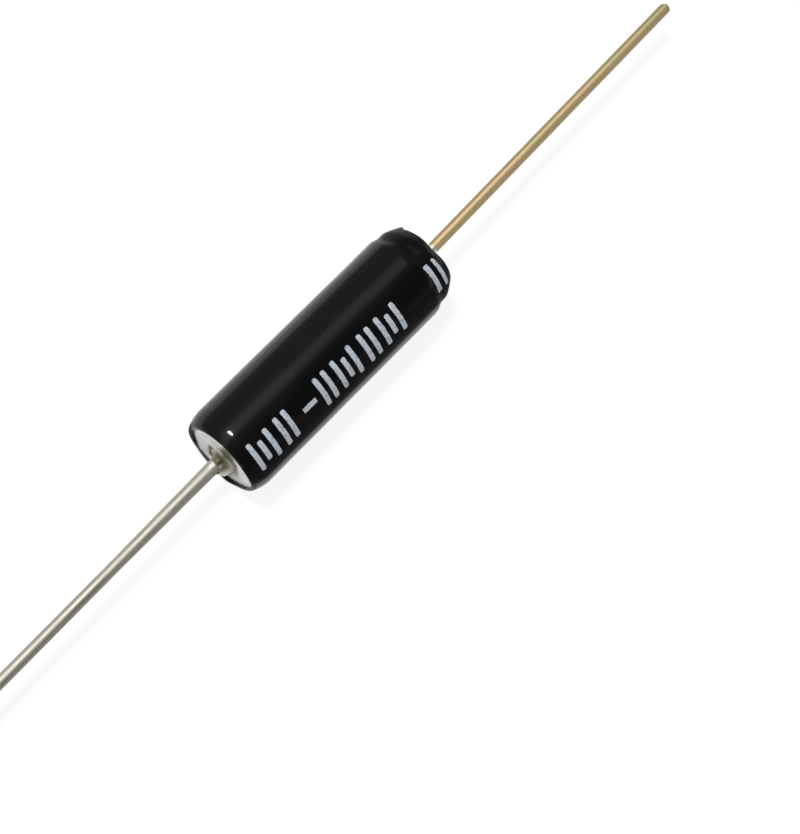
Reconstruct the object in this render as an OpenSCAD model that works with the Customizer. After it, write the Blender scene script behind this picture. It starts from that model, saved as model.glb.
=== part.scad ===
// Axial tilt switch: a metal can with two rolling balls, a contact pin in a plastic plug,
// a wire lead on each end and a shrunk black sleeve over it all.
// +X runs along the axis to the tip of the contact pin's lead. The origin is on the axis,
// in the middle of the sleeve. All sizes are in millimetres.

/* [Sleeve] */
// Outside diameter of the sleeve
sleeve_d = 4; // [3.9:0.05:4.3]
// Thickness of the sleeve's wall
sleeve_wall = 0.18; // [0.12:0.01:0.25]
// Clear diameter inside the lip on the closed end of the can
lip_d = 3.24; // [2.8:0.02:3.3]
// How far the lip stands proud of the can's end face
lip_proud = 0.07; // [0.04:0.01:0.2]
// Width of the cut edge of the lip, seen from the end
lip_edge = 0.04; // [0.02:0.01:0.08]
// Length over which the sleeve rounds off to the lip
lip_round = 1.1; // [0.7:0.05:2]
// Outside diameter of the collar on the open end
collar_d = 3.56; // [3.4:0.02:3.7]
// Length over which the sleeve draws in to the collar
shoulder_length = 1.2; // [0.8:0.05:1.25]
// How far the collar reaches past the rolled edge of the can
collar_reach = 1.48; // [1.4:0.02:2.5]
// Rounding of the collar's rim
rim_round = 0.06; // [0.03:0.01:0.08]

/* [Can] */
// Length of the can over all
can_length = 10.65; // [10:0.05:14]
// Thickness of the can's drawn wall
can_wall = 0.22; // [0.15:0.01:0.28]
// Thickness of the can's closed end
can_floor = 0.3; // [0.2:0.02:0.6]
// Outside radius of the corner round the closed end
can_corner = 0.45; // [0.4:0.01:0.5]
// Outside radius of the rolled edge on the open end
crimp_r = 0.4; // [0.34:0.01:0.5]

/* [Plug] */
// Length of the plug's body, from its inner face to the shoulder under the rolled edge
plug_length = 1.44; // [1:0.02:1.8]
// How far the plug's nose reaches past the rolled edge
nose_reach = 0.88; // [0.5:0.02:1.2]
// Chamfer round the nose
nose_chamfer = 0.12; // [0.05:0.01:0.25]

/* [Contact pin and its lead] */
// Diameter of both wires
lead_d = 0.5; // [0.4:0.01:0.6]
// Free length of the contact pin's wire past the collar
pin_lead_reach = 16.5; // [5:0.5:30]
// Diameter of the pin's shank in the plug
shank_d = 0.84; // [0.82:0.02:1]
// How far the shank stands proud of the plug's nose
shank_proud = 0.1; // [0.02:0.02:0.3]
// Diameter of the ring that anchors the shank in the plug
anchor_d = 1.2; // [1.1:0.05:1.6]
// Width of the anchor ring
anchor_width = 0.3; // [0.2:0.02:0.5]
// Diameter of the contact head in the chamber
head_d = 1.5; // [1.3:0.05:2]
// Thickness of the contact head
head_thickness = 0.3; // [0.2:0.02:0.5]
// Rounding of the contact head's rim
head_round = 0.08; // [0.03:0.01:0.12]

/* [Welded lead] */
// Free length of the welded wire past the lip
weld_lead_reach = 16.5; // [8:0.5:30]
// Diameter of the wire at its root, where the tin is thickest
root_d = 0.6; // [0.6:0.01:0.7]
// Length over which the tin thins out to the plain wire
root_length = 5.5; // [3:0.5:7]
// Diameter of the weld at the can's face
weld_d = 1.5; // [1.2:0.05:2]
// Height of the weld over the can's face
weld_height = 0.5; // [0.3:0.02:0.8]

/* [Cut ends] */
// Height of the ridge that the cutters leave on each wire's end
snip_rise = 0.1; // [0.04:0.01:0.2]

/* [Balls] */
// Diameter of each ball
ball_d = 2.8; // [2.4:0.05:2.85]

/* [Clearances] */
// Between pieces that are pressed, shrunk or moulded on each other
seat_gap = 0.01; // [0.005:0.005:0.02]
// Between a resting ball and what it lies on
ball_gap = 0.02; // [0.01:0.005:0.05]

/* [Hidden] */
$fn = 96;
// Power of the drawn-out round between sleeve and lip, a little slimmer than an ellipse
lip_power = 1.2;
// Steps in a curve of the sleeve
curve_steps = 12;
// Steps in a quarter of a circle
arc_steps = 8;
// Thickness that a feathered edge of the weld keeps
feather = 0.02;
// Spare length by which a cutting block passes what it cuts
spare = 1;

sleeve_r = sleeve_d / 2;
lead_r = lead_d / 2;
shank_r = shank_d / 2;
ball_r = ball_d / 2;
can_r = sleeve_r - sleeve_wall - seat_gap;
chamber_r = can_r - can_wall;

// Places along the axis
sleeve_length = lip_proud + can_length + collar_reach;
x_lip = -sleeve_length / 2;
x_rim = sleeve_length / 2;
x_face = x_lip + lip_proud;
x_can_end = x_face + can_length;
x_floor = x_face + can_floor;
x_crimp = x_can_end - crimp_r;
x_plug_shoulder = x_can_end - can_wall - seat_gap;
x_plug = x_plug_shoulder - plug_length;
x_nose = x_can_end + nose_reach;
x_shank = x_nose + shank_proud;
x_head = x_plug - seat_gap - head_thickness;
x_anchor = (x_plug + x_plug_shoulder) / 2;
x_collar = x_rim - rim_round;
x_shoulder = x_can_end - crimp_r / 2;

// Seats
crimp_hole_r = can_r - crimp_r;
nose_r = crimp_hole_r - seat_gap;
plug_r = chamber_r - seat_gap;

// Places and travel of the balls: they lie on the wall of the chamber, one behind the other
ball_drop = chamber_r - ball_r - ball_gap;
x_rear_ball = x_floor + ball_gap + ball_r;
x_front_ball = x_rear_ball + ball_d + ball_gap;
travel = x_head - ball_gap - ball_r - x_front_ball;

// Part of a circle round centre [x, r], from one angle to another, as [x, r] points
function arc(centre, radius, from, to, steps = arc_steps) =
    [for (i = [0 : steps]) let (a = from + (to - from) * i / steps)
        centre + radius * [cos(a), sin(a)]];

// Slow start, slow end, from 0 to 1
function ease(t) = t * t * (3 - 2 * t);

// A solid of revolution round the X axis, from [x, r] points
module turned(points) {
    rotate([0, 90, 0])
        rotate_extrude()
            polygon([for (p = points) [p[1], p[0]]]);
}

// A straight round bar along X
module bar(x0, x1, r) {
    translate([x0, 0, 0])
        rotate([0, 90, 0])
            cylinder(h = x1 - x0, r = r);
}

// Two sloping cuts that leave a ridge across the end of a wire, as side cutters do.
// The end points along +X when way is 1 and along -X when it is -1.
module snipped_end(x, way) {
    slope = atan(snip_rise / lead_r);
    for (side = [-1, 1])
        translate([x, 0, 0])
            rotate([0, 0, way * side * slope])
                translate([way > 0 ? 0 : -spare, side > 0 ? 0 : -spare, -spare])
                    cube([spare, spare, 2 * spare]);
}

// Shrunk tube: lip over the can's corner, plain barrel, shoulder and open collar
module outer_sleeve() {
    lip_r = lip_d / 2;
    crest_r = lip_r + lip_edge;
    collar_r = collar_d / 2;
    inner_corner = can_corner + seat_gap;
    seat_r = can_r + seat_gap;
    seat_x = x_face - seat_gap;
    lip_rise = [for (i = [0 : curve_steps]) let (a = 90 * i / curve_steps)
        [x_lip + lip_round * (1 - pow(cos(a), lip_power)),
         crest_r + (sleeve_r - crest_r) * pow(sin(a), lip_power)]];
    shoulder = [for (i = [0 : curve_steps]) let (t = i / curve_steps)
        [x_shoulder + shoulder_length * t, sleeve_r - (sleeve_r - collar_r) * ease(t)]];
    rim = arc([x_collar, collar_r - rim_round], rim_round, 90, 0);
    mouth = [for (i = [curve_steps : -1 : 0]) let (t = i / curve_steps)
        [x_shoulder + shoulder_length * t,
         sleeve_r - sleeve_wall - (sleeve_r - collar_r) * ease(t)]];
    seat_angle = asin((lip_r - (seat_r - inner_corner)) / inner_corner);
    seat = arc([seat_x + inner_corner, seat_r - inner_corner], inner_corner, 90, 180 - seat_angle);
    color([0.07, 0.07, 0.075])
        turned(concat(lip_rise, shoulder, rim, [[x_rim, collar_r - sleeve_wall]], mouth, seat));
}

// Drawn cup with a rounded closed end and an edge rolled in over the plug
module can() {
    inner_corner = can_corner - can_wall;
    roll_centre = [x_crimp, crimp_hole_r];
    outside = concat(
        [[x_face, 0]],
        arc([x_face + can_corner, can_r - can_corner], can_corner, 180, 90),
        arc(roll_centre, crimp_r, 90, 0));
    inside = concat(
        arc(roll_centre, crimp_r - can_wall, 0, 90),
        arc([x_floor + inner_corner, chamber_r - inner_corner], inner_corner, 90, 180),
        [[x_floor, 0]]);
    color([0.86, 0.86, 0.84])
        turned(concat(outside, inside));
}

// Tinned wire, butt-welded to the middle of the can's closed end
module silver_lead() {
    root_r = root_d / 2;
    x_tip = x_lip - weld_lead_reach;
    x_taper = x_face - weld_height;
    color([0.78, 0.75, 0.71])
        difference() {
            union() {
                bar(x_taper, x_face, root_r);
                translate([x_taper - root_length, 0, 0])
                    rotate([0, 90, 0])
                        cylinder(h = root_length, r1 = lead_r, r2 = root_r);
                bar(x_tip, x_taper - root_length, lead_r);
            }
            snipped_end(x_tip, -1);
        }
}

// Weld metal drawn up round the root of the wire
module weld_fillet() {
    hole_r = root_d / 2 + seat_gap;
    weld_r = weld_d / 2;
    crown_r = hole_r + feather;
    hollow = [for (i = [0 : arc_steps]) let (a = 90 * i / arc_steps)
        [x_face - feather - (weld_height - feather) * (1 - cos(a)),
         weld_r - (weld_r - crown_r) * sin(a)]];
    color([0.8, 0.79, 0.74])
        turned(concat([[x_face, hole_r], [x_face, weld_r]], hollow,
            [[x_face - weld_height, hole_r]]));
}

// Moulded bush: its shoulder lies under the can's rolled edge, its nose stands in the collar
module insulator_plug() {
    hole_r = shank_r + seat_gap;
    shoulder_round = crimp_r - can_wall - seat_gap;
    color([0.1, 0.1, 0.1])
        difference() {
            turned(concat(
                [[x_plug, 0], [x_plug, plug_r]],
                arc([x_crimp, crimp_hole_r], shoulder_round, 90, 0),
                [[x_plug_shoulder, nose_r], [x_nose - nose_chamfer, nose_r],
                 [x_nose, nose_r - nose_chamfer], [x_nose, 0]]));
            bar(x_plug - spare, x_nose + spare, hole_r);
            bar(x_anchor - anchor_width / 2 - seat_gap, x_anchor + anchor_width / 2 + seat_gap,
                anchor_d / 2 + seat_gap);
        }
}

// Contact pin turned in one piece: head in the chamber, anchored shank, long wire lead
module gold_lead() {
    x_tip = x_rim + pin_lead_reach;
    head_r = head_d / 2;
    x_head_back = x_head + head_thickness;
    head = concat(
        [[x_head, 0]],
        arc([x_head + head_round, head_r - head_round], head_round, 180, 90),
        [[x_head_back, head_r], [x_head_back, 0]]);
    color([0.82, 0.7, 0.42])
        difference() {
            union() {
                turned(head);
                bar(x_head_back, x_shank, shank_r);
                bar(x_anchor - anchor_width / 2, x_anchor + anchor_width / 2, anchor_d / 2);
                bar(x_shank, x_tip, lead_r);
            }
            snipped_end(x_tip, 1);
        }
}

// A ball lying on the wall of the chamber
module ball(x) {
    color([0.85, 0.72, 0.4])
        translate([x, 0, -ball_drop])
            sphere(r = ball_r);
}

// The ball that meets the contact head
module front_ball() {
    ball(x_front_ball);
}

// The ball behind it, on the closed end
module rear_ball() {
    ball(x_rear_ball);
}

outer_sleeve();
can();
silver_lead();
weld_fillet();
insulator_plug();
gold_lead();
front_ball();
rear_ball();
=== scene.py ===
# %% [markdown]
# # Tilt switch in a shrunk black sleeve
# The part is a small metal can, 4 mm across with its sleeve, on two stiff wires. The solids
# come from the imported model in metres, with +X along the axis to the tip of the gold wire.
# This lesson dresses them: it models again the pieces that the eye lands on, gives every
# piece a node material, and sets up the camera, the table and the light.

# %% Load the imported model
import math
import random

import bpy
from mathutils import Euler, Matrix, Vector


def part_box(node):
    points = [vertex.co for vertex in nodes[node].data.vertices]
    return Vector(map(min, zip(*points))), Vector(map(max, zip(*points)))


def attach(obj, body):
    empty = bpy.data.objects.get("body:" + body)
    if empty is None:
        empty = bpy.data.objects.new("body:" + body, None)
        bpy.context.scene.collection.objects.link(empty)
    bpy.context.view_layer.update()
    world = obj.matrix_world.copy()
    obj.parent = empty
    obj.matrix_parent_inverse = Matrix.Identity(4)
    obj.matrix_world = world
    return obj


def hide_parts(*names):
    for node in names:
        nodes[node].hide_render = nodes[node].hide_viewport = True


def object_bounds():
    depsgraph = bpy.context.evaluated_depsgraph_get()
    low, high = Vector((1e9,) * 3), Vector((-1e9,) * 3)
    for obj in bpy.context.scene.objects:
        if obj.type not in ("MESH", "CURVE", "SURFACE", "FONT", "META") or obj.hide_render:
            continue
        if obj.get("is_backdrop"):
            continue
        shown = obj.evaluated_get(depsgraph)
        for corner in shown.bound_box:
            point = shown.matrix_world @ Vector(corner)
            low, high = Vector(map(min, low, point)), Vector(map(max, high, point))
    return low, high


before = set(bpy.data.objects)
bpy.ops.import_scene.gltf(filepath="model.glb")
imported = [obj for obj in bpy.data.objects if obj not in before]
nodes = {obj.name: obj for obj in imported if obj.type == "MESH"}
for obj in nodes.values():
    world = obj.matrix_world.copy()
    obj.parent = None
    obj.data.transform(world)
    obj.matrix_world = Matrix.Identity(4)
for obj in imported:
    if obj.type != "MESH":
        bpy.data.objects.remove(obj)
cad_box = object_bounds()
random.seed(41)
print("nodes", sorted(nodes))
print("box in mm", [[round(1000 * c, 3) for c in corner] for corner in cad_box])

# %% [markdown]
# ## Sizes that several pieces share
# All sizes below are written in millimetres, because the switch's body would fit on a
# fingernail, and MM turns them into Blender's metres. The places along the axis are the ones
# that the solids use, read from their boxes, so a piece fits what it replaces. The sleeve is
# a hair slimmer than its solid, which leaves room for a few swellings inside the same box.

# %% Shared sizes
MM = 0.001


def span(name):
    """Lowest and highest corner of a solid, in millimetres."""
    return [Vector(corner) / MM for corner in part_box(name)]


sleeve_low, sleeve_high = span("outer_sleeve")
can_low, can_high = span("can")
LIP_X = sleeve_low.x
RIM_X = sleeve_high.x
FACE_X = can_low.x
CRIMP_X = can_high.x
SILVER_TIP_X = span("silver_lead")[0].x
GOLD_TIP_X = span("gold_lead")[1].x
FLOOR_Z = sleeve_low.z
SLEEVE_R = 1.994
WALL = 0.18
SEAT_GAP = 0.01
WIRE_R = 0.25
print("lip", round(LIP_X, 3), "face", round(FACE_X, 3), "crimp", round(CRIMP_X, 3))
print("rim", round(RIM_X, 3), "tips", round(SILVER_TIP_X, 2), round(GOLD_TIP_X, 2))

# %% [markdown]
# ## The camera
# The photograph looks down on the switch from the side of the silver wire, and the wires run
# from corner to corner of the frame. A long lens from about 90 mm away gives the slight
# narrowing of the body towards the gold wire. The camera is turned by a compass direction and
# a height above the table, and then backed away from the point that it looks at.

# %% Camera
AZIMUTH, ELEVATION, DISTANCE = -48.37, 65.29, 89.25
LOOK_AT = Vector((0.04, -4.103, 0))
VIEW_ANGLE = 21.27
aim = Euler((math.radians(90 - ELEVATION), 0, math.radians(AZIMUTH)))
stand_at = LOOK_AT + aim.to_matrix() @ Vector((0, 0, DISTANCE))
bpy.ops.object.camera_add(location=stand_at * MM, rotation=aim)
camera = bpy.context.object
camera.name = "camera"
camera.data.angle = math.radians(VIEW_ANGLE)
camera.data.clip_start = MM
bpy.context.scene.camera = camera
print("camera at", [round(c, 1) for c in stand_at], "mm")

# %% [markdown]
# ## Turning a piece on the lathe
# Sleeve, can, weld and wires are all round, so they are drawn as half a section and spun about
# the X axis. The section starts as a plane that is merged to one point, and the point is
# extruded from place to place. A Screw modifier could turn it as well, but the spin operator
# leaves a mesh that can be pushed about at once. Spinning leaves a closed skin, whose doubles
# are merged and whose normals are then turned outwards.

# %% Lathe helpers
MERGE_GAP = 0.0002


def let_go():
    """Leave edit mode and select nothing."""
    if bpy.context.mode != "OBJECT":
        bpy.ops.object.mode_set(mode="OBJECT")
    bpy.ops.object.select_all(action="DESELECT")


def pick(piece):
    """Select one piece and nothing else."""
    let_go()
    piece.select_set(True)
    bpy.context.view_layer.objects.active = piece


def edit(piece):
    """Enter edit mode on one piece, with nothing in it selected."""
    pick(piece)
    bpy.ops.object.mode_set(mode="EDIT")
    bpy.ops.mesh.select_mode(type="VERT")
    bpy.ops.mesh.select_all(action="DESELECT")


def arc(x, r, radius, start, end, steps=10):
    """Part of a circle round [x, r] as section points; 0 degrees points along +X."""
    angles = [math.radians(start + (end - start) * i / steps) for i in range(steps + 1)]
    return [(x + radius * math.cos(a), r + radius * math.sin(a)) for a in angles]


def turn(name, section, steps):
    """Spin a section of [x, radius] points, in millimetres, into a round piece."""
    let_go()
    bpy.ops.mesh.primitive_plane_add(size=MM)
    piece = bpy.context.object
    piece.name = piece.data.name = name
    bpy.ops.object.mode_set(mode="EDIT")
    bpy.ops.mesh.merge(type="CENTER")
    at = Vector((section[0][0], 0, section[0][1])) * MM
    bpy.ops.transform.translate(value=at)
    for x, r in section[1:]:
        to = Vector((x, 0, r)) * MM
        bpy.ops.mesh.extrude_region_move(TRANSFORM_OT_translate={"value": to - at})
        at = to
    bpy.ops.mesh.select_all(action="SELECT")
    bpy.ops.mesh.spin(steps=steps, angle=2 * math.pi, center=(0, 0, 0), axis=(1, 0, 0))
    bpy.ops.mesh.select_all(action="SELECT")
    bpy.ops.mesh.remove_doubles(threshold=MERGE_GAP * MM)
    bpy.ops.mesh.normals_make_consistent(inside=False)
    let_go()
    return piece


# %% [markdown]
# ## Pushing a piece about
# No real piece is as round as a turned one. A displacement texture would make it uneven all
# over, but what shows here are single accidents, each in its own place. So one vertex is
# picked by its place on the skin and pulled with a soft fall-off, as a thumb would.

# %% Helpers for accidents
def on_skin(x, r, turned):
    """A place on a round piece: turned is in degrees from the top towards -Y."""
    angle = math.radians(turned)
    return Vector((x, -r * math.sin(angle), r * math.cos(angle)))


def choose(piece, wanted):
    """Enter edit mode with just those vertices selected that are wanted."""
    edit(piece)
    bpy.ops.object.mode_set(mode="OBJECT")
    for vertex in piece.data.vertices:
        vertex.select = wanted(vertex)
    bpy.ops.object.mode_set(mode="EDIT")


def nudge(piece, place, push, reach):
    """Pull the skin near one place, out to a reach in millimetres."""
    place = place * MM
    nearest = min(piece.data.vertices, key=lambda v: (v.co - place).length).index
    choose(piece, lambda v: v.index == nearest)
    bpy.ops.transform.translate(
        value=push * MM,
        use_proportional_edit=True,
        proportional_edit_falloff="SMOOTH",
        proportional_size=reach * MM,
    )
    let_go()


def push_about(piece, pushes):
    """Nudge one place after another: x, radius, degrees turned, push and reach."""
    for x, r, turned, push, reach in pushes:
        nudge(piece, on_skin(x, r, turned), Vector(push), reach)


def smooth(piece, degrees=40):
    """Shade smooth, but keep edges sharper than the given angle."""
    pick(piece)
    bpy.ops.object.shade_smooth_by_angle(angle=math.radians(degrees))


def report(piece):
    """Print what a piece measures."""
    size = [round(c / MM, 3) for c in piece.dimensions]
    print(piece.name, "measures", size, "mm and has", len(piece.data.polygons), "faces")


# %% [markdown]
# ## The shrunk sleeve
# A length of black tube was slipped over the can and shrunk with hot air. On the closed end it
# drew round the can's corner and left a thin lip, and on the open end it hangs over and
# narrows to a collar. A solidify modifier could give the wall its thickness, but the wall
# thins at the lip, so the section simply runs back along the inside.

# %% Outline of the barrel and the collar
SHOULDER = (4.79, 5.22)
NECK_R = 1.852
TAPER_X = 5.55
TAPER = 0.25
TAPER_POWER = 1.5


def ease(t):
    """Slow start and slow end, from 0 to 1."""
    return t * t * (3 - 2 * t)


def outer_r(x):
    """Outside radius from the barrel over the shoulder and neck to the rim."""
    step = min(1, max(0, (x - SHOULDER[0]) / (SHOULDER[1] - SHOULDER[0])))
    narrowing = max(0, (x - TAPER_X) / (RIM_X - TAPER_X)) ** TAPER_POWER
    return SLEEVE_R - (SLEEVE_R - NECK_R) * ease(step) - TAPER * narrowing


print("radius at barrel, neck and rim", [round(outer_r(x), 3) for x in (0, TAPER_X, RIM_X)])

# %% [markdown]
# The lip is a drawn-out round, a little slimmer than an ellipse, which a power of sine and
# cosine gives. The points crowd towards the collar, where the outline bends most.

# %% Sleeve section
LIP_R = 1.7
LIP_CREST = 1.725
LIP_EDGE = (0.012, 0.022)
LIP_ROUND = 0.82
LIP_POWER = 1.15
INNER_CORNER = 0.21
RIM_ROUND = 0.05
LIP_STEPS, BARREL_STEPS, COLLAR_STEPS, CORNER_STEPS = 20, 64, 14, 8
COLLAR_STEP = 0.1
CROWDING = 1.5
INSIDE_PLACES = (4.2, 1.5, -1.5, -4.0)


def outside_section():
    """The lip's rounding, the barrel, the shoulder and the collar, up to the rim."""
    section = [(LIP_X + LIP_EDGE[0], LIP_CREST - LIP_EDGE[1])]
    for i in range(LIP_STEPS + 1):
        a = math.radians(90 * i / LIP_STEPS)
        section.append((
            LIP_X + LIP_ROUND * (1 - math.cos(a) ** LIP_POWER),
            LIP_CREST + (SLEEVE_R - LIP_CREST) * math.sin(a) ** LIP_POWER,
        ))
    start, end = section[-1][0], RIM_X - RIM_ROUND
    for i in range(1, BARREL_STEPS + 1):
        x = start + (end - start) * (1 - (1 - i / BARREL_STEPS) ** CROWDING)
        section.append((x, outer_r(x)))
    return section


def rim_and_inside_section():
    """The rounded rim, the way back along the can, and the corner under the lip."""
    end = RIM_X - RIM_ROUND
    edge_r = outer_r(end)
    section = [
        (RIM_X - 0.4 * RIM_ROUND, edge_r - 0.3 * RIM_ROUND),
        (RIM_X, edge_r - RIM_ROUND),
        (RIM_X, edge_r - WALL + RIM_ROUND),
        (RIM_X - 0.8 * RIM_ROUND, edge_r - WALL),
    ]
    for i in range(1, COLLAR_STEPS + 1):
        x = end - COLLAR_STEP * i
        section.append((x, outer_r(x) - WALL))
    section += [(x, SLEEVE_R - WALL) for x in INSIDE_PLACES]
    centre_x, centre_r = FACE_X - SEAT_GAP + INNER_CORNER, SLEEVE_R - WALL - INNER_CORNER
    steepest = math.degrees(math.acos((LIP_R - centre_r) / INNER_CORNER))
    return section + arc(centre_x, centre_r, INNER_CORNER, 90, 90 + steepest, CORNER_STEPS)


sleeve_section = outside_section() + rim_and_inside_section()
sleeve = turn("shrunk_sleeve", sleeve_section + [sleeve_section[0]], steps=128)
report(sleeve)

# %% [markdown]
# Heat-shrink is never quite even. The lip's opening is a little oval and sits off the middle,
# so its inner ring is squeezed and shifted in one go, which keeps the edge smooth. Then the
# lip is pulled out under the silver wire, the collar's cut edge gets the flare of a tube that
# was snipped askew, the shoulder fills out on one side, and the barrel gets a few long, very
# shallow dents.

# %% Uneven shrinking
OPENING_SQUEEZE, OPENING_SHIFT = 0.93, -0.07
OPENING_DEPTH, OPENING_MARGIN = 0.015, 0.005
DENTS = 14
DENT_PLACES, DENT_DEPTHS, DENT_REACHES = (-4.4, 4.2), (0.006, 0.014), (0.7, 1.6)


def in_the_opening(vertex):
    """Whether a vertex lies on the lip's inner ring, in front of the can's face."""
    away = math.hypot(vertex.co.y, vertex.co.z) / MM
    return vertex.co.x / MM < FACE_X + OPENING_DEPTH and away < LIP_CREST + OPENING_MARGIN


choose(sleeve, in_the_opening)
bpy.ops.transform.resize(value=(1, OPENING_SQUEEZE, 1), center_override=(0, 0, 0))
bpy.ops.transform.translate(value=(0, OPENING_SHIFT * MM, 0))
let_go()
push_about(sleeve, [
    (LIP_X, LIP_CREST, 155, (-0.045, 0.05, 0.09), 1.3),
    (LIP_X, LIP_CREST, 115, (-0.02, 0.03, 0.01), 0.9),
    (LIP_X, LIP_CREST, 200, (-0.04, 0, 0.01), 1.3),
    (LIP_X, LIP_CREST, 55, (-0.045, 0.005, -0.01), 1.5),
    (LIP_X, LIP_CREST, -116, (0, 0.02, -0.01), 1.4),
    (LIP_X, LIP_CREST, 172, (-0.045, 0, -0.02), 0.7),
    (LIP_X, LIP_R, -128, (0.006, 0.02, -0.017), 0.5),
    (LIP_X + 0.08, 1.81, -92, on_skin(0, 0.022, -92), 0.5),
    (RIM_X, 1.6, 108, (-0.16, 0.03, 0.01), 1.3),
    (5.32, NECK_R, 108, (0, 0.05, 0.015), 0.4),
    (5.3, NECK_R, -62, (0, 0.06, 0.025), 0.75),
    (5.33, NECK_R, -12, (0, 0.01, 0.06), 0.7),
    (RIM_X, 1.6, -60, (0.17, -0.01, -0.01), 0.55),
    (RIM_X, 1.6, 20, (-0.05, 0, -0.02), 0.7),
    (RIM_X, 1.6, -150, (-0.07, -0.02, 0.03), 0.9),
])
for i in range(DENTS):
    place = on_skin(random.uniform(*DENT_PLACES), SLEEVE_R, random.uniform(-180, 180))
    inward = Vector((0, -place.y, -place.z)).normalized()
    nudge(sleeve, place, inward * random.uniform(*DENT_DEPTHS), random.uniform(*DENT_REACHES))
smooth(sleeve, degrees=50)
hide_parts("outer_sleeve")
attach(sleeve, "housing")
report(sleeve)

# %% [markdown]
# ## Printed bars
# A plain row of pale bars is printed along one side of the sleeve, some tall, some short,
# with one lying dash. Each bar is a grid laid flat over the barrel and shrink-wrapped to its
# skin, a hair thicker than nothing. A mask in the sleeve's material could draw it as well, but
# real ink sits on top and has its own gloss. Its edge is shaken a little, because ink creeps.

# %% Bars on the barrel
BAR_TURN = 49
INK = 0.004
LIFT, SHAKE, WRAP_GAP = 0.03, 0.008, 0.0005
ROUNDED_ENDS = ((0.46, 0.88), (0.49, 0.6))
STROKE, PITCH = 0.23, 0.46
TALL, SHORT = 1.5, 1.0
DASH_X, DASH_LENGTH = -2.4, 0.72
GROUPS = [(-5.45, 3), (-3.93, 2), (-1.62, 2), (-0.6, 3), (0.98, 2), (2.0, 3), (5.2, 2)]


def lay_bar(x, width, height):
    """One bar of ink with rounded ends, wrapped onto the sleeve."""
    let_go()
    bpy.ops.mesh.primitive_grid_add(x_subdivisions=6, y_subdivisions=36, size=1)
    bar = bpy.context.object
    for beyond, squeeze in ROUNDED_ENDS:
        choose(bar, lambda v: abs(v.co.y) > beyond)
        bpy.ops.transform.resize(value=(squeeze, 1, 1))
    pick(bar)
    bar.scale = (width * MM, height * MM, 1)
    bar.rotation_euler = (math.radians(BAR_TURN), 0, 0)
    bar.location = on_skin(x, outer_r(x) + LIFT, BAR_TURN) * MM
    bpy.ops.object.transform_apply(location=True, rotation=True, scale=True)
    edit(bar)
    bpy.ops.mesh.select_non_manifold()
    bpy.ops.transform.vertex_random(offset=SHAKE * MM, uniform=1, seed=int(100 * x) + 700)
    pick(bar)
    wrap = bar.modifiers.new("lie on the sleeve", "SHRINKWRAP")
    wrap.target = sleeve
    wrap.wrap_method = "NEAREST_SURFACEPOINT"
    wrap.offset = WRAP_GAP * MM
    bpy.ops.object.modifier_apply(modifier=wrap.name)
    return bar


bars = [lay_bar(DASH_X, DASH_LENGTH, STROKE)]
for start, count in GROUPS:
    for i in range(count):
        middle = count == 3 and i == 1
        bars.append(lay_bar(start + PITCH * i, STROKE, SHORT if middle else TALL))
pick(bars[0])
for bar in bars:
    bar.select_set(True)
bpy.ops.object.join()
ink = bpy.context.object
ink.name = ink.data.name = "printed_bars"
film = ink.modifiers.new("ink film", "SOLIDIFY")
film.thickness = INK * MM
film.offset = 1
bpy.ops.object.modifier_apply(modifier=film.name)
smooth(ink, degrees=50)
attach(ink, "housing")
report(ink)

# %% [markdown]
# ## The can
# A cup drawn from thin plated sheet: the punch leaves a tight corner round its closed end, and
# the open edge is rolled in over the plug. Only the end face and its corner show under the
# sleeve's lip, but the whole cup is turned, with the chamber that the balls lie in. The face
# bulges a few hundredths of a millimetre near its edge, so that it mirrors the table unevenly.

# %% Drawn can
CAN_R = can_high.z
CAN_CORNER = 0.2
CAN_WALL, CAN_FLOOR, ROLL_R = 0.22, 0.3, 0.4
CHAMBER_CORNER = 0.15
FACE_RINGS = (0, 1.0, 1.3)
BULGES = ((-146, 0.024), (-124, 0.028), (156, 0.01), (178, 0.016))
BULGE_REACH = 0.62
roll_x, roll_r = CRIMP_X - ROLL_R, CAN_R - ROLL_R
chamber_x, chamber_r = FACE_X + CAN_FLOOR, CAN_R - CAN_WALL
can_section = [(FACE_X, r) for r in FACE_RINGS]
can_section += arc(FACE_X + CAN_CORNER, CAN_R - CAN_CORNER, CAN_CORNER, 180, 90)
can_section += arc(roll_x, roll_r, ROLL_R, 90, 0)
can_section += arc(roll_x, roll_r, ROLL_R - CAN_WALL, 0, 90)
can_section += arc(chamber_x + CHAMBER_CORNER, chamber_r - CHAMBER_CORNER, CHAMBER_CORNER, 90, 180)
can_section.append((chamber_x, 0))
can = turn("drawn_can", can_section, steps=96)
push_about(can, [(FACE_X, CAN_R - CAN_CORNER, turned, (-bulge, 0, 0), BULGE_REACH)
                 for turned, bulge in BULGES])
smooth(can)
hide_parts("can")
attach(can, "housing")
report(can)

# %% [markdown]
# ## The tinned wire
# The silver wire is copper dipped in tin. The tin is thickest at the root and thins out along
# the first few millimetres, and it is never quite even, so the section gets a small random
# rise and fall. The wire was snipped with side cutters, which leave two slanted flats that
# meet in a ridge: each flat is cut with a bisect that fills the cut. Both wires also stand
# off the axis by half a degree or a degree, as such leads do after some handling.

# %% Wire helpers
WIRE_STEPS = 44


def wire_section(start, end, radius_at, wander):
    """Points from start to end, closed to the axis at both ends."""
    section = [(start, 0), (start, radius_at(start))]
    for i in range(1, WIRE_STEPS):
        x = start + (end - start) * i / WIRE_STEPS
        section.append((x, radius_at(x) + random.uniform(-wander, wander)))
    return section + [(end, radius_at(end)), (end, 0)]


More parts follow.
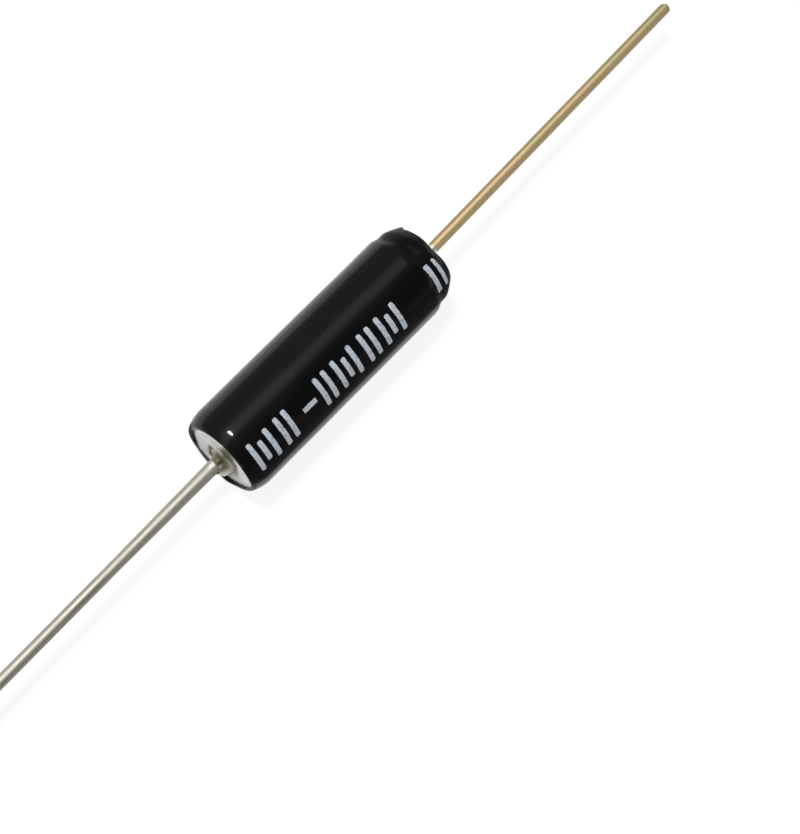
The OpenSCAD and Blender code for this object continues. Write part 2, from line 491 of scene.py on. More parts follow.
def snip(piece, tip, outward, slope, side):
    """Cut a flat at a wire's end that falls by slope over the radius, towards +Y or -Y."""
    angle = math.atan(slope / WIRE_R)
    edit(piece)
    bpy.ops.mesh.select_all(action="SELECT")
    bpy.ops.mesh.bisect(
        plane_co=(tip * MM, 0, 0),
        plane_no=(outward * math.cos(angle), side * math.sin(angle), 0),
        use_fill=True,
        clear_outer=True,
        threshold=MERGE_GAP * MM,
    )
    let_go()


def lean(piece, pivot, outward, degrees):
    """Swing what lies beyond a place on the axis sideways, seen from above."""
    choose(piece, lambda v: outward * (v.co.x / MM - pivot) > 0)
    bpy.ops.transform.rotate(value=-math.radians(degrees), orient_axis="Z",
                             center_override=(pivot * MM, 0, 0))
    let_go()


# %% Tinned wire
ROOT_R = 0.3
ROOT_END = FACE_X - 0.5
ROOT_LENGTH = 5.5
ROOT_POWER = 1.15
TIN_WANDER, TIN_SLACK = 0.003, 0.004
SILVER_LEAN = 0.47


def tin_radius(x):
    """Plain wire at the tip, swelling to the root over the root's length."""
    share = min(1, max(0, (x - ROOT_END + ROOT_LENGTH) / ROOT_LENGTH))
    return WIRE_R - TIN_SLACK + (ROOT_R - WIRE_R) * share ** ROOT_POWER


tin_section = wire_section(SILVER_TIP_X, FACE_X, tin_radius, TIN_WANDER)
tinned = turn("tinned_wire", tin_section, steps=48)
snip(tinned, SILVER_TIP_X, -1, 0.12, 1)
snip(tinned, SILVER_TIP_X, -1, 0.07, -1)
lean(tinned, FACE_X - 0.4, -1, SILVER_LEAN)
smooth(tinned)
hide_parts("silver_lead")
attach(tinned, "housing")
report(tinned)

# %% [markdown]
# ## The weld
# A small trumpet of metal between wire and can. It ran further on the side that faces down the
# picture, so it is turned evenly and then pushed about. Its edge runs out flat on the can, and
# a subdivision surface keeps it as soft as metal that has flowed.

# %% Weld
WELD_R = 0.76
WELD_RISE = 0.5
WELD_SUNK = 0.014
WELD_STEPS = 16
inner_r = ROOT_R - WELD_SUNK
weld_section = []
for i in range(WELD_STEPS + 1):
    a = math.radians(90 * i / WELD_STEPS)
    weld_section.append((
        FACE_X + WELD_SUNK - WELD_RISE * (1 - math.cos(a)),
        WELD_R - (WELD_R - inner_r) * math.sin(a),
    ))
weld_section.append((FACE_X + WELD_SUNK, inner_r))
weld = turn("weld_bead", weld_section + [weld_section[0]], steps=48)
push_about(weld, [
    (FACE_X - 0.1, 0.52, 115, (-0.06, -0.05, -0.02), 0.5),
    (FACE_X - 0.12, 0.5, -60, (0.05, -0.03, -0.01), 0.4),
    (FACE_X - 0.3, 0.38, 20, (0, 0, 0.03), 0.25),
    (FACE_X - 0.25, 0.4, 175, (-0.04, 0, -0.03), 0.3),
    (FACE_X, WELD_R, 168, (0, -0.03, -0.36), 0.7),
    (FACE_X - 0.1, 0.62, 150, (-0.15, -0.05, -0.14), 0.4),
    (FACE_X - 0.35, 0.42, 135, (-0.1, -0.11, -0.14), 0.42),
    (FACE_X - 0.42, 0.33, 190, (-0.26, -0.06, 0), 0.36),
])
pick(weld)
soft = weld.modifiers.new("soft metal", "SUBSURF")
soft.levels = soft.render_levels = 1
bpy.ops.object.modifier_apply(modifier=soft.name)
smooth(weld, degrees=60)
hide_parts("weld_fillet")
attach(weld, "housing")
report(weld)

# %% [markdown]
# ## The contact pin
# One turned piece: a round head inside the chamber, a shank with an anchor ring in the plug,
# and the long gold-plated wire. A bevelled curve would make the wire alone, but on the lathe
# head, ring, shank and wire are one closed skin, as the real pin is one piece of metal. Its
# tip was snipped nearly square, with one corner bevelled.

# %% Gold pin
HEAD_R, HEAD_THICKNESS, HEAD_ROUND, HEAD_EDGE = 0.75, 0.3, 0.08, 0.03
SHANK_R, SHANK_EDGE, SHANK_PROUD = 0.42, 0.05, 0.1
ANCHOR_R, ANCHOR_HALF, ANCHOR_EDGE = 0.6, 0.15, 0.02
WIRE_FOOT = (0.03, 0.02)
GOLD_WANDER, GOLD_SLACK = 0.0015, 0.002
GOLD_LEAN = 1.12
head_x = span("gold_lead")[0].x
plug_low, plug_high = span("insulator_plug")
anchor_x = (plug_low.x + CRIMP_X - CAN_WALL - SEAT_GAP) / 2
shank_x = plug_high.x + SHANK_PROUD
pin_section = [(head_x, 0)]
for a in (90, 65, 40, 20, 0):
    pin_section.append((
        head_x + HEAD_ROUND * (1 - math.sin(math.radians(a))),
        HEAD_R - HEAD_ROUND * (1 - math.cos(math.radians(a))),
    ))
pin_section += [
    (head_x + HEAD_THICKNESS - HEAD_EDGE, HEAD_R),
    (head_x + HEAD_THICKNESS, HEAD_R - HEAD_EDGE),
    (head_x + HEAD_THICKNESS, SHANK_R),
    (anchor_x - ANCHOR_HALF, SHANK_R),
    (anchor_x - ANCHOR_HALF, ANCHOR_R - ANCHOR_EDGE),
    (anchor_x - ANCHOR_HALF + ANCHOR_EDGE, ANCHOR_R),
    (anchor_x + ANCHOR_HALF - ANCHOR_EDGE, ANCHOR_R),
    (anchor_x + ANCHOR_HALF, ANCHOR_R - ANCHOR_EDGE),
    (anchor_x + ANCHOR_HALF, SHANK_R),
    (shank_x - SHANK_EDGE, SHANK_R),
    (shank_x, SHANK_R - SHANK_EDGE),
    (shank_x, WIRE_R + WIRE_FOOT[1]),
]
pin_section += wire_section(shank_x + WIRE_FOOT[0], GOLD_TIP_X, lambda x: WIRE_R - GOLD_SLACK,
                            GOLD_WANDER)[1:]
pin = turn("gold_pin", pin_section, steps=48)
snip(pin, GOLD_TIP_X, 1, 0.15, 1)
snip(pin, GOLD_TIP_X, 1, 0.03, -1)
lean(pin, shank_x, 1, GOLD_LEAN)
smooth(pin)
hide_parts("gold_lead")
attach(pin, "housing")
report(pin)

# %% [markdown]
# ## Node materials
# Every finish is made of nodes, with no pictures. Object coordinates are turned into
# millimetres first, so the numbers can be read as real sizes. Most nodes build masks, which
# say with a number from 0 to 1 how much of an effect there is. A finish multiplies masks where
# all of them must hold, takes the larger where either may, and blends one colour over another
# by the result.


# %% Helpers for single nodes
def add(tree, kind, inputs=None, **settings):
    """Add one node. A socket is linked, any other value is typed in."""
    made = tree.nodes.new("ShaderNode" + kind)
    for name, value in settings.items():
        setattr(made, name, value)
    fill(tree, made, inputs or {})
    return made


def fill(tree, node, inputs):
    """Give a node its inputs, by name or number."""
    for name, value in inputs.items():
        if isinstance(value, bpy.types.NodeSocket):
            tree.links.new(value, node.inputs[name])
        else:
            node.inputs[name].default_value = value


def math_node(tree, operation, first, second=0.0, clamp=False):
    """One Math node with its two values."""
    return add(tree, "Math", {0: first, 1: second},
               operation=operation, use_clamp=clamp).outputs[0]


def vector_node(tree, operation, first, second, output="Vector"):
    """One Vector Math node with its two values."""
    return add(tree, "VectorMath", {0: first, 1: second}, operation=operation).outputs[output]


# %% Helpers for masks and colours
def times(tree, *values):
    """Multiply masks with each other and with plain shares."""
    product = values[0]
    for value in values[1:]:
        product = math_node(tree, "MULTIPLY", product, value)
    return product


def larger(tree, first, second):
    """The larger of two masks."""
    return math_node(tree, "MAXIMUM", first, second)


def ramp(tree, value, low, high):
    """Map low..high to 0..1, with soft ends. Low may be the larger one."""
    return add(tree, "MapRange", {"Value": value, "From Min": low, "From Max": high},
               interpolation_type="SMOOTHSTEP").outputs["Result"]


def level(tree, mask, low, high):
    """A number that is low where the mask is 0 and high where it is 1."""
    return add(tree, "Math", {0: mask, 1: high - low, 2: low},
               operation="MULTIPLY_ADD").outputs[0]


def blend(tree, share, first, second):
    """Mix two colours."""
    mix = add(tree, "Mix", {"Factor": share}, data_type="RGBA")
    colours = [c if isinstance(c, bpy.types.NodeSocket) else (*c, 1) for c in (first, second)]
    fill(tree, mix, {6: colours[0], 7: colours[1]})
    return mix.outputs[2]


# %% [markdown]
# A group is built once, with named inputs and outputs, and placed in each finish with its own
# values. A finish starts as a Principled surface, whose colour, roughness and relief are fed
# last. What is the same all over a piece is typed into the surface's own sockets.

# %% Helpers for groups and finishes
def new_group(name, takes, gives):
    """An empty group. Each input that it takes has a start value, or None for a vector."""
    group = bpy.data.node_groups.new(name, "ShaderNodeTree")
    for label, start in takes.items():
        kind = "NodeSocketVector" if start is None else "NodeSocketFloat"
        socket = group.interface.new_socket(label, in_out="INPUT", socket_type=kind)
        if start is not None:
            socket.default_value = start
    for label in gives:
        group.interface.new_socket(label, in_out="OUTPUT", socket_type="NodeSocketFloat")
    return group, group.nodes.new("NodeGroupInput"), group.nodes.new("NodeGroupOutput")


def place_group(tree, group, place, **values):
    """Put a group into a material with its own values, and give its outputs."""
    made = tree.nodes.new("ShaderNodeGroup")
    made.node_tree = group
    fill(tree, made, {"Place": place, **values})
    return made.outputs


def new_finish(name):
    """A material with an empty Principled surface, and its place in millimetres."""
    finish = bpy.data.materials.new(name)
    finish.use_nodes = True
    tree = finish.node_tree
    coordinate = add(tree, "TexCoord").outputs["Object"]
    place = vector_node(tree, "MULTIPLY", coordinate, (1 / MM, 1 / MM, 1 / MM))
    return finish, tree, tree.nodes["Principled BSDF"], place


def dress(tree, surface, colour, roughness, height, depth):
    """Feed a finish's colour, roughness and relief, with its depth in mm, to its surface."""
    tree.links.new(colour, surface.inputs["Base Color"])
    tree.links.new(roughness, surface.inputs["Roughness"])
    relief = add(tree, "Bump", {"Height": height, "Distance": depth * MM, "Strength": 1.0})
    tree.links.new(relief.outputs[0], surface.inputs["Normal"])
    print("a finish of", len(tree.nodes), "nodes, with a relief of", depth, "mm")


# %% [markdown]
# ### Shared effects
# Five effects serve several finishes, so each is a node group that is built once. Blotches
# gives uneven, cloudy patches, for handled metal and for plastic with a little bloom. Drawn
# lines gives the fine streaks that a drawing die leaves along a wire: a noise that is
# stretched along X. Specks gives single grains of dust and tiny nicks, from the cells of a
# Voronoi pattern of which only a few are kept.

# %% Blotches
blotches, inside, outside = new_group(
    "Blotches", {"Place": None, "Size": 1.0, "Stretch": 1.0, "Low": 0.4, "High": 0.6}, ["Mask"])
squeeze = add(blotches, "CombineXYZ", {"X": inside.outputs["Stretch"], "Y": 1.0, "Z": 1.0})
squeezed = vector_node(blotches, "MULTIPLY", inside.outputs["Place"], squeeze.outputs[0])
per_mm = math_node(blotches, "DIVIDE", 1.0, inside.outputs["Size"])
cloud = add(blotches, "TexNoise", {"Vector": squeezed, "Scale": per_mm, "Detail": 4.0,
                                   "Roughness": 0.55, "Distortion": 0.3})
patch = ramp(blotches, cloud.outputs["Fac"], inside.outputs["Low"], inside.outputs["High"])
blotches.links.new(patch, outside.inputs["Mask"])
print("blotches of", len(blotches.nodes), "nodes")

# %% Drawn lines
drawn, inside, outside = new_group(
    "Drawn lines", {"Place": None, "Pitch": 0.03, "Length": 30.0}, ["Lines"])
per_length = math_node(drawn, "DIVIDE", 1.0, inside.outputs["Length"])
stretch = add(drawn, "CombineXYZ", {"X": per_length, "Y": 1.0, "Z": 1.0})
stretched = vector_node(drawn, "MULTIPLY", inside.outputs["Place"], stretch.outputs[0])
per_pitch = math_node(drawn, "DIVIDE", 1.0, inside.outputs["Pitch"])
streaks = add(drawn, "TexNoise", {"Vector": stretched, "Scale": per_pitch, "Detail": 2.0,
                                  "Roughness": 0.6})
drawn.links.new(streaks.outputs["Fac"], outside.inputs["Lines"])
print("drawn lines of", len(drawn.nodes), "nodes")

# %% Specks
specks, inside, outside = new_group(
    "Specks", {"Place": None, "Spacing": 0.5, "Size": 0.03, "Share": 0.2}, ["Mask"])
per_cell = math_node(specks, "DIVIDE", 1.0, inside.outputs["Spacing"])
cells = add(specks, "TexVoronoi", {"Vector": inside.outputs["Place"], "Scale": per_cell})
near = add(specks, "MapRange", {
    "Value": times(specks, cells.outputs["Distance"], inside.outputs["Spacing"]),
    "From Min": inside.outputs["Size"],
    "From Max": times(specks, inside.outputs["Size"], 0.5)})
lot = add(specks, "SeparateColor", {0: cells.outputs["Color"]})
kept = math_node(specks, "LESS_THAN", lot.outputs[0], inside.outputs["Share"])
specks.links.new(times(specks, near.outputs["Result"], kept), outside.inputs["Mask"])
print("specks of", len(specks.nodes), "nodes")

# %% [markdown]
# Round the axis tells a finish where it is on a round piece: how far along and how high, how
# far away from the axis, and how much it faces -Y, which is the lower right in the picture.
# With it a mark can sit on one side of a wire or on one ring of the sleeve. Stroke draws a
# soft mark from one place to another, as a finger or a flame leaves it: the distance to the
# line between the two places, with an edge that wavers by a noise.

# %% Round the axis
polar, inside, outside = new_group(
    "Round the axis", {"Place": None}, ["X", "Z", "Away", "Towards -Y"])
parts = add(polar, "SeparateXYZ", {0: inside.outputs["Place"]})
flat = add(polar, "CombineXYZ", {"X": 0.0, "Y": parts.outputs["Y"], "Z": parts.outputs["Z"]})
radius = add(polar, "VectorMath", {0: flat.outputs[0]}, operation="LENGTH").outputs["Value"]
towards = times(polar, math_node(polar, "DIVIDE", parts.outputs["Y"], radius), -1.0)
for label, value in (("X", parts.outputs["X"]), ("Z", parts.outputs["Z"]),
                     ("Away", radius), ("Towards -Y", towards)):
    polar.links.new(value, outside.inputs[label])
print("round the axis of", len(polar.nodes), "nodes")

# %% Stroke
stroke, inside, outside = new_group(
    "Stroke", {"Place": None, "From": None, "To": None, "Width": 0.1, "Waver": 0.1}, ["Mask"])
way = vector_node(stroke, "SUBTRACT", inside.outputs["To"], inside.outputs["From"])
here = vector_node(stroke, "SUBTRACT", inside.outputs["Place"], inside.outputs["From"])
gone = vector_node(stroke, "DOT_PRODUCT", here, way, "Value")
whole = vector_node(stroke, "DOT_PRODUCT", way, way, "Value")
share = math_node(stroke, "DIVIDE", gone, whole, clamp=True)
nearest = add(stroke, "VectorMath", {0: way, "Scale": share}, operation="SCALE").outputs[0]
gap = vector_node(stroke, "DISTANCE", here, nearest, "Value")
shake = add(stroke, "TexNoise", {"Vector": inside.outputs["Place"], "Scale": 4.0, "Detail": 3.0})
waver = times(stroke, math_node(stroke, "SUBTRACT", shake.outputs["Fac"], 0.5),
              inside.outputs["Waver"])
edge = ramp(stroke, math_node(stroke, "ADD", gap, waver),
            times(stroke, inside.outputs["Width"], 1.2),
            times(stroke, inside.outputs["Width"], 0.08))
stroke.links.new(edge, outside.inputs["Mask"])
print("stroke of", len(stroke.nodes), "nodes")

# %% [markdown]
# ### Black shrink tube
# The tube is nearly black, with a satin body and a thin glossy skin, which is what Coat is
# for: the lamp shows once as a small sharp spot and once as a wide dim glow. Its black is not
# one black, so two are blotched together, and a few grains of dust lie on it. The skin is
# rubbed dull where the part is handled: in a band along one side, round the collar and on the
# front of the lip. The lip's cut edge is a little grey, partly as bare cut tube and partly as a
# painted sheen.

# %% Sleeve finish
CUT_EDGE_R = (1.75, 1.72)
BAND_Z = (1.4, 1.1), (0.05, 0.35)
COLLAR_STARTS = (4.75, 5.1)
SKIN = 0.8
black_tube, tree, surface, place = new_finish("black_shrink_tube")
mottle = place_group(tree, blotches, place, Size=1.6, Stretch=0.5, Low=0.38, High=0.66)[0]
fine = place_group(tree, blotches, place, Size=0.22, Low=0.35, High=0.7)[0]
dust = place_group(tree, specks, place, Spacing=0.9, Size=0.035, Share=0.16)[0]
turned = place_group(tree, polar, place)
side = turned["Towards -Y"]
colour = blend(tree, mottle, (0.0042, 0.0043, 0.0046), (0.0068, 0.0062, 0.0058))
colour = blend(tree, dust, colour, (0.04, 0.04, 0.038))
# partly bare cut tube, partly painted sheen: the lip's inner edge is made a little grey
cut_edge_and_sheen = times(tree, ramp(tree, turned["Away"], *CUT_EDGE_R),
                 ramp(tree, turned["X"], FACE_X + 0.05, FACE_X + 0.03),
                 ramp(tree, side, -0.97, -0.88))
colour = blend(tree, cut_edge_and_sheen, colour, (0.05, 0.05, 0.052))
band = times(tree, ramp(tree, turned["Z"], *BAND_Z[0]), ramp(tree, turned["Z"], *BAND_Z[1]),
             ramp(tree, side, 0.5, 0.7))
handled = times(tree, ramp(tree, side, -0.9, -0.7), ramp(tree, side, 0.2, 0.0), 0.8)
collar = times(tree, ramp(tree, turned["X"], *COLLAR_STARTS),
               larger(tree, ramp(tree, side, 0.5, 0.85), handled))
lip_front = times(tree, ramp(tree, turned["X"], LIP_X + 0.18, LIP_X + 0.08),
                  larger(tree, ramp(tree, side, -0.8, -0.92),
                         times(tree, ramp(tree, side, 0.8, 0.92), 0.6)))
rubbed = larger(tree, larger(tree, band, collar), lip_front)
tree.links.new(level(tree, rubbed, SKIN, 0.0), surface.inputs["Coat Weight"])
surface.inputs["Coat Roughness"].default_value = 0.085
surface.inputs["Coat IOR"].default_value = 1.32
surface.inputs["IOR"].default_value = 1.3
surface.inputs["Specular IOR Level"].default_value = 0.06
relief = math_node(tree, "ADD", times(tree, fine, 0.08), mottle)
dress(tree, surface, colour, level(tree, fine, 0.4, 0.5), relief, 0.004)
sleeve.data.materials.append(black_tube)

# %% [markdown]
# ### Ink
# Pale blue-grey ink, thin enough that the black shows through in pin-holes and where the pad
# lifted off a little. Where it covers well it is also rougher and stands a little higher.

# %% Ink finish
pale_ink, tree, surface, place = new_finish("pale_ink")
thin = place_group(tree, blotches, place, Size=0.12, Low=0.28, High=0.5)[0]
holes = place_group(tree, specks, place, Spacing=0.075, Size=0.022, Share=0.3)[0]
cover = times(tree, thin, math_node(tree, "SUBTRACT", 1.0, holes))
colour = blend(tree, cover, (0.24, 0.27, 0.3), (0.56, 0.62, 0.69))
dress(tree, surface, colour, level(tree, cover, 0.38, 0.58), cover, 0.002)
ink.data.materials.append(pale_ink)

# %% [markdown]
# ### Tinned copper
# Tin is a soft white metal with a satin surface: streaks along the wire from the die, cloudy
# patches where it froze and a few nicks. Painted shade darkens the side towards -Y to a warm
# grey, and a painted highlight brightens the top of the wire next to the weld.

# %% Tin finish
tin, tree, surface, place = new_finish("tinned_copper")
lines = place_group(tree, drawn, place, Pitch=0.05, Length=40.0)[0]
cloudy = place_group(tree, blotches, place, Size=0.9, Stretch=0.35, Low=0.35, High=0.65)[0]
nicks = place_group(tree, specks, place, Spacing=0.35, Size=0.04, Share=0.12)[0]
turned = place_group(tree, polar, place)
side = turned["Towards -Y"]
colour = blend(tree, cloudy, (0.52, 0.49, 0.44), (0.6, 0.575, 0.53))
colour = blend(tree, times(tree, lines, 0.5), colour, (0.4, 0.375, 0.335))
colour = blend(tree, nicks, colour, (0.34, 0.31, 0.27))
# painted shade: the side of the wire towards -Y is darkened to a warm grey
painted_side_shade = times(tree, ramp(tree, side, 0.7, 0.97), 0.6)
colour = blend(tree, painted_side_shade, colour, (0.2, 0.18, 0.16))
# painted highlight: a pale cream patch on the top of the wire just before the weld
painted_root_highlight = times(tree, ramp(tree, turned["X"], FACE_X - 0.85, FACE_X - 0.6),
               ramp(tree, side, -0.55, -0.2), ramp(tree, side, 0.5, 0.15), 0.55)
colour = blend(tree, painted_root_highlight, colour, (0.86, 0.82, 0.74))
surface.inputs["Metallic"].default_value = 1
relief = math_node(tree, "ADD", lines, times(tree, cloudy, 0.6))
dress(tree, surface, colour, level(tree, cloudy, 0.54, 0.64), relief, 0.003)
tinned.data.materials.append(tin)

# %% [markdown]
# ### Marks of heat and handling
# The end face is soiled by the welding flame and by fingers, and some marks run from the can
# onto the weld. So both finishes lay the same strokes. Soot doesn't mirror as metal does, so
# a sooty mark also takes away from Metallic.

# %% Smudges on the end face
# Each: from and to as (y, z), width, strength, colour, and how sooty it is
SMUDGES = [
    ((0.95, 0.15), (0.84, -0.6), 0.36, 0.75, (0.36, 0.36, 0.34), 0.0),
    ((-0.5, 0.5), (-0.62, -0.45), 0.46, 0.85, (0.2, 0.2, 0.16), 0.2),
    ((-0.2, -1.05), (-0.4, -0.8), 0.26, 0.85, (0.14, 0.14, 0.11), 0.4),
    ((-0.82, 0.5), (-0.7, -0.4), 0.15, 0.9, (0.11, 0.11, 0.095), 0.5),
    ((0.57, 0.2), (0.65, -0.64), 0.22, 0.95, (0.1, 0.1, 0.075), 0.9),
    ((0.15, 0.75), (-0.2, 0.74), 0.12, 0.85, (0.26, 0.25, 0.2), 0.3),
    ((-0.2, 0.74), (-0.5, 0.5), 0.13, 0.9, (0.24, 0.23, 0.17), 0.3),
]


def soil_face(tree, place, colour):
    """Lay the smudges over a colour; also say how much bare metal is left."""
    soot = 0.0
    for start, end, width, strength, tint, sooty in SMUDGES:
        mark = place_group(tree, stroke, place, From=(FACE_X, *start), To=(FACE_X, *end),
                           Width=width, Waver=width)[0]
        laid = times(tree, mark, strength)
        colour = blend(tree, laid, colour, tint)
        soot = larger(tree, times(tree, laid, sooty), soot)
    return colour, math_node(tree, "SUBTRACT", 1.0, soot)


print(len(SMUDGES), "smudges")

# %% [markdown]
# ### Weld metal
# Brighter and smoother than the tin, but burnt olive on the upper side that faces -Y, and
# duller towards the wire. A broad dark stroke on the other flank stands for the scale that the
# heat left there.

# %% Weld finish
weld_metal, tree, surface, place = new_finish("weld_metal")
turned = place_group(tree, polar, place)
root = ramp(tree, turned["Away"], 0.72, 0.38)
flow = place_group(tree, blotches, place, Size=0.28, Low=0.35, High=0.62)[0]
stain = place_group(tree, blotches, place, Size=0.4, Low=0.26, High=0.44)[0]
burnt = times(tree, stain, root, ramp(tree, turned["Towards -Y"], -0.75, 0.1),
              ramp(tree, turned["Z"], -0.3, 0.05))
scale = place_group(tree, stroke, place, From=(FACE_X - 0.1, 0.21, 0.5),
                    To=(FACE_X - 0.12, 0.33, 0.0), Width=0.26, Waver=0.2)[0]
colour = blend(tree, flow, (0.58, 0.575, 0.53), (0.72, 0.715, 0.68))
colour, bare = soil_face(tree, place, colour)
colour = blend(tree, root, colour, (0.46, 0.43, 0.36))
colour = blend(tree, times(tree, scale, 0.6), colour, (0.17, 0.16, 0.11))
colour = blend(tree, burnt, colour, (0.13, 0.125, 0.075))
tree.links.new(bare, surface.inputs["Metallic"])
surface.inputs["Specular IOR Level"].default_value = 0.0
dress(tree, surface, colour, level(tree, root, 0.14, 0.52), flow, 0.006)
weld.data.materials.append(weld_metal)

# %% [markdown]
# ### Plated can
# The can is bright plated brass. Only its end face shows, as a mirror for the table, so what
# matters there is what breaks the mirror: fine turning lines, cloudy smears, and the smudges
# of heat and handling. A painted highlight makes the drawn corner nearly white on the side
# away from -Y. The turning lines are a sine of the distance from the axis.

# %% Can finish
RINGS_PER_MM = 190 / (2 * math.pi)
plating, tree, surface, place = new_finish("bright_plating")
turned = place_group(tree, polar, place)
smear = place_group(tree, blotches, place, Size=0.8, Low=0.4, High=0.66)[0]
# painted highlight: the drawn corner of the face is made nearly white on the side away from -Y
corner = times(tree, ramp(tree, turned["Away"], 1.46, 1.6),
               ramp(tree, turned["Towards -Y"], -0.35, -0.6))
colour = blend(tree, smear, (0.58, 0.58, 0.565), (0.46, 0.46, 0.44))
colour = blend(tree, corner, colour, (0.95, 0.95, 0.945))
colour, bare = soil_face(tree, place, colour)
tree.links.new(bare, surface.inputs["Metallic"])
surface.inputs["Specular IOR Level"].default_value = 0.0
rings = math_node(tree, "SINE", times(tree, turned["Away"], 2 * math.pi * RINGS_PER_MM))
relief = math_node(tree, "ADD", times(tree, rings, 0.06), smear)
dress(tree, surface, colour, level(tree, smear, 0.27, 0.37), relief, 0.002)
can.data.materials.append(plating)

# %% [markdown]
# ### Gold plating
# The pin has thin gold over nickel: dull yellow with rosy and greenish patches, and streaks
# along the wire. A painted highlight runs in a pale band just off its top, and painted shade
# makes it brown on its lower right and olive on its upper left. The wire leans off the axis,
# so the place is turned back by the same angle before the sides are told apart. A painted
# glint makes a pale ring near the plug, and the snipped tip is grey.

# %% Gold finish
# where the painted glint near the plug starts and ends along the wire, in mm
ROOT_GLINT_X = (5.5, 5.6), (6.76, 6.66)
gold, tree, surface, place = new_finish("dull_gold_plating")
along = add(tree, "SeparateXYZ", {0: place}).outputs["X"]
upright = add(tree, "VectorRotate", {"Vector": place, "Center": (shank_x, 0, 0),
                                     "Angle": -math.radians(GOLD_LEAN)}, rotation_type="Z_AXIS")
side = place_group(tree, polar, upright.outputs[0])["Towards -Y"]
lines = place_group(tree, drawn, place, Pitch=0.045, Length=50.0)[0]
rosy = place_group(tree, blotches, place, Size=0.55, Stretch=0.6, Low=0.46, High=0.66)[0]
green = place_group(tree, blotches, place, Size=0.8, Stretch=0.5, Low=0.48, High=0.62)[0]
colour = blend(tree, times(tree, rosy, 0.65), (0.7, 0.56, 0.3), (0.74, 0.5, 0.35))
colour = blend(tree, times(tree, green, 0.6), colour, (0.58, 0.57, 0.3))
colour = blend(tree, times(tree, lines, 0.4), colour, (0.56, 0.44, 0.25))
green_tip = times(tree, ramp(tree, along, GOLD_TIP_X - 2.2, GOLD_TIP_X - 0.6), 0.7)
colour = blend(tree, green_tip, colour, (0.5, 0.48, 0.25))
# painted highlight: a pale gold band along the wire just off its top
lit = times(tree, ramp(tree, side, 0.3, 0.45), ramp(tree, side, 0.8, 0.66), 0.75)
colour = blend(tree, lit, colour, (1.0, 0.8, 0.45))
# painted shade: the lower right side of the wire is made brown
brown = times(tree, ramp(tree, side, 0.74, 0.9), 0.75)
colour = blend(tree, brown, colour, (0.38, 0.27, 0.14))
# painted shade: the upper left side of the wire is made olive
olive = times(tree, ramp(tree, side, -0.25, -0.55), 0.55)
colour = blend(tree, olive, colour, (0.36, 0.31, 0.17))
worn_tip = ramp(tree, along, GOLD_TIP_X - 0.12, GOLD_TIP_X - 0.01)
colour = blend(tree, worn_tip, colour, (0.24, 0.24, 0.21))
# painted glint: a pale ring on the wire where it leaves the plug and the sleeve
painted_root_glint = times(tree, *(ramp(tree, along, *ends) for ends in ROOT_GLINT_X))
colour = blend(tree, painted_root_glint, colour, (0.84, 0.83, 0.82))
surface.inputs["Metallic"].default_value = 1
dress(tree, surface, colour, level(tree, lines, 0.48, 0.6), lines, 0.003)
pin.data.materials.append(gold)

# %% [markdown]
# ### Plug and balls
# Three solids keep their shape and only get a finish. The balls have the same gold as the pin,
# polished, with a grey patch here and there where they strike. The plug is a black
# glass-filled plastic: matt, with a fine grain and paler flecks where the fibres lie near the
# skin.

# %% Ball finish
ball_gold, tree, surface, place = new_finish("polished_gold_plating")
struck = place_group(tree, blotches, place, Size=0.5, Low=0.56, High=0.7)[0]
colour = blend(tree, struck, (0.86, 0.66, 0.32), (0.62, 0.56, 0.42))
surface.inputs["Metallic"].default_value = 1
dress(tree, surface, colour, level(tree, struck, 0.12, 0.3), struck, 0.002)

# %% Plug finish
moulded, tree, surface, place = new_finish("moulded_black_plastic")
grain = place_group(tree, blotches, place, Size=0.08, Low=0.3, High=0.7)[0]
flecks = place_group(tree, specks, place, Spacing=0.16, Size=0.02, Share=0.3)[0]
colour = blend(tree, grain, (0.014, 0.014, 0.014), (0.022, 0.021, 0.02))
colour = blend(tree, flecks, colour, (0.06, 0.058, 0.055))
dress(tree, surface, colour, level(tree, grain, 0.45, 0.6), grain, 0.006)

# %% Finishes for the three solids
WORN_BY = {"insulator_plug": moulded, "front_ball": ball_gold, "rear_ball": ball_gold}
for name, finish in WORN_BY.items():
    nodes[name].material_slots[0].material = finish
    print(name, "wears", finish.name)

# %% [markdown]
# ## Table and light
# The switch lies on white paper. To the camera and to everything glossy the paper is nearly
# pure white, because part of its white is a glow that only camera, glossy and transmission
# rays see. The rest is ordinary diffuse white, so the switch still leaves its soft shadow.

# %% White paper
PAPER_WIDTH = 3000
let_go()
bpy.ops.mesh.primitive_plane_add(size=PAPER_WIDTH * MM, location=(0, 0, FLOOR_Z * MM))
paper_sheet = bpy.context.object
paper_sheet.name = "paper"
paper = bpy.data.materials.new("white_paper")
paper.use_nodes = True
tree = paper.node_tree
tree.nodes.remove(tree.nodes["Principled BSDF"])
plain = add(tree, "BsdfDiffuse", {"Color": (0.8, 0.8, 0.8, 1)})
shaded = add(tree, "BsdfDiffuse", {"Color": (0.13, 0.13, 0.13, 1)})
glow = add(tree, "Emission", {"Color": (1, 1, 1, 1), "Strength": 0.9})
both = add(tree, "AddShader", {0: shaded.outputs[0], 1: glow.outputs[0]})
rays = add(tree, "LightPath").outputs
seen = math_node(tree, "ADD", rays["Is Camera Ray"], rays["Is Glossy Ray"], clamp=True)
seen = math_node(tree, "ADD", seen, rays["Is Transmission Ray"], clamp=True)
choice = add(tree, "MixShader", {0: seen, 1: plain.outputs[0], 2: both.outputs[0]})
tree.links.new(choice.outputs[0], tree.nodes["Material Output"].inputs["Surface"])
paper_sheet.data.materials.append(paper)
paper_sheet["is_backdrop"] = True
print("paper at z", round(FLOOR_Z, 3), "mm")

# %% [markdown]
# A long soft box hangs nearly overhead. Its reflection is the small bright spot on the
# sleeve's shoulder, which fixes its direction, and the spot's size fixes the size of the box.

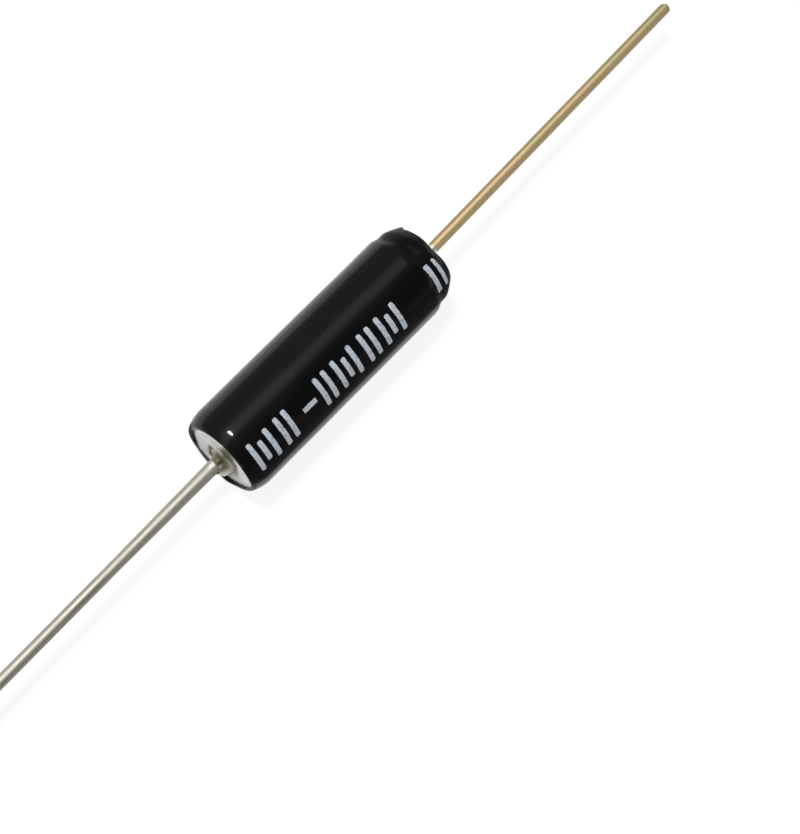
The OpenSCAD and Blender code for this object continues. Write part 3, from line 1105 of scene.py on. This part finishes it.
# %% Soft box
LAMP_WAY = Vector((-0.0485, 0.1323, 0.99)).normalized()
LAMP_AWAY = 350
LAMP_OVER = Vector((-5.6, 0, 1.9))
LAMP_WIDTH, LAMP_LENGTH = 26, 85
LAMP_WATTS = 0.85
lamp_at = LAMP_OVER + LAMP_WAY * LAMP_AWAY
facing = Euler((-math.asin(LAMP_WAY.y), math.asin(LAMP_WAY.x), 0))
bpy.ops.object.light_add(type="AREA", location=lamp_at * MM, rotation=facing)
lamp = bpy.context.object
lamp.name = "soft_box"
lamp.data.shape = "ELLIPSE"
lamp.data.size = LAMP_WIDTH * MM
lamp.data.size_y = LAMP_LENGTH * MM
lamp.data.energy = LAMP_WATTS
print("lamp at", [round(c) for c in lamp_at], "mm")

# %% [markdown]
# The room is a dim dome: pale at the horizon like the paper, and darker and cooler on one
# side. A warm band of ceiling crosses it overhead and gives the barrel its long faint gleam.
# The band fades out towards +X, where the gleam ends in the photograph.

# %% Room
CEILING_TILT, CEILING_HALF, CEILING_CORE = (math.radians(a) for a in (10, 20, 5))
bpy.context.scene.world = bpy.context.scene.world or bpy.data.worlds.new("room")
room = bpy.context.scene.world
room.use_nodes = True
tree = room.node_tree
tree.nodes.clear()
way = add(tree, "SeparateXYZ", {0: add(tree, "TexCoord").outputs["Generated"]}).outputs
dome = blend(tree, ramp(tree, way["Y"], -0.45, 0.25), (0.03, 0.033, 0.04), (0.31, 0.31, 0.31))
dome = blend(tree, ramp(tree, way["Z"], 0.16, 0.02), dome, (0.9, 0.9, 0.9))
across = math_node(tree, "ARCTAN2", way["Y"], way["Z"])
off = math_node(tree, "ABSOLUTE", math_node(tree, "SUBTRACT", across, CEILING_TILT))
ceiling = times(tree, ramp(tree, off, CEILING_HALF, CEILING_CORE),
                ramp(tree, way["X"], 0.52, 0.38), 0.9)
dome = blend(tree, ceiling, dome, (1.3, 1.22, 1.12))
background = add(tree, "Background", {"Color": dome, "Strength": 1.0})
output = add(tree, "OutputWorld", {"Surface": background.outputs[0]})
bpy.context.scene.view_settings.view_transform = "Standard"
print("room of", len(tree.nodes), "nodes, ending in", output.name)

# %% [markdown]
# ## The size of the dressed switch
# The dressed switch is meant to stay inside the solids' box, so both boxes are printed.

# %% Finish
let_go()
sizes = {
    "cad": [list(corner) for corner in cad_box],
    "visual": [list(corner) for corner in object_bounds()],
}
for key, corners in sizes.items():
    print(key, [[round(1000 * c, 4) for c in corner] for corner in corners])
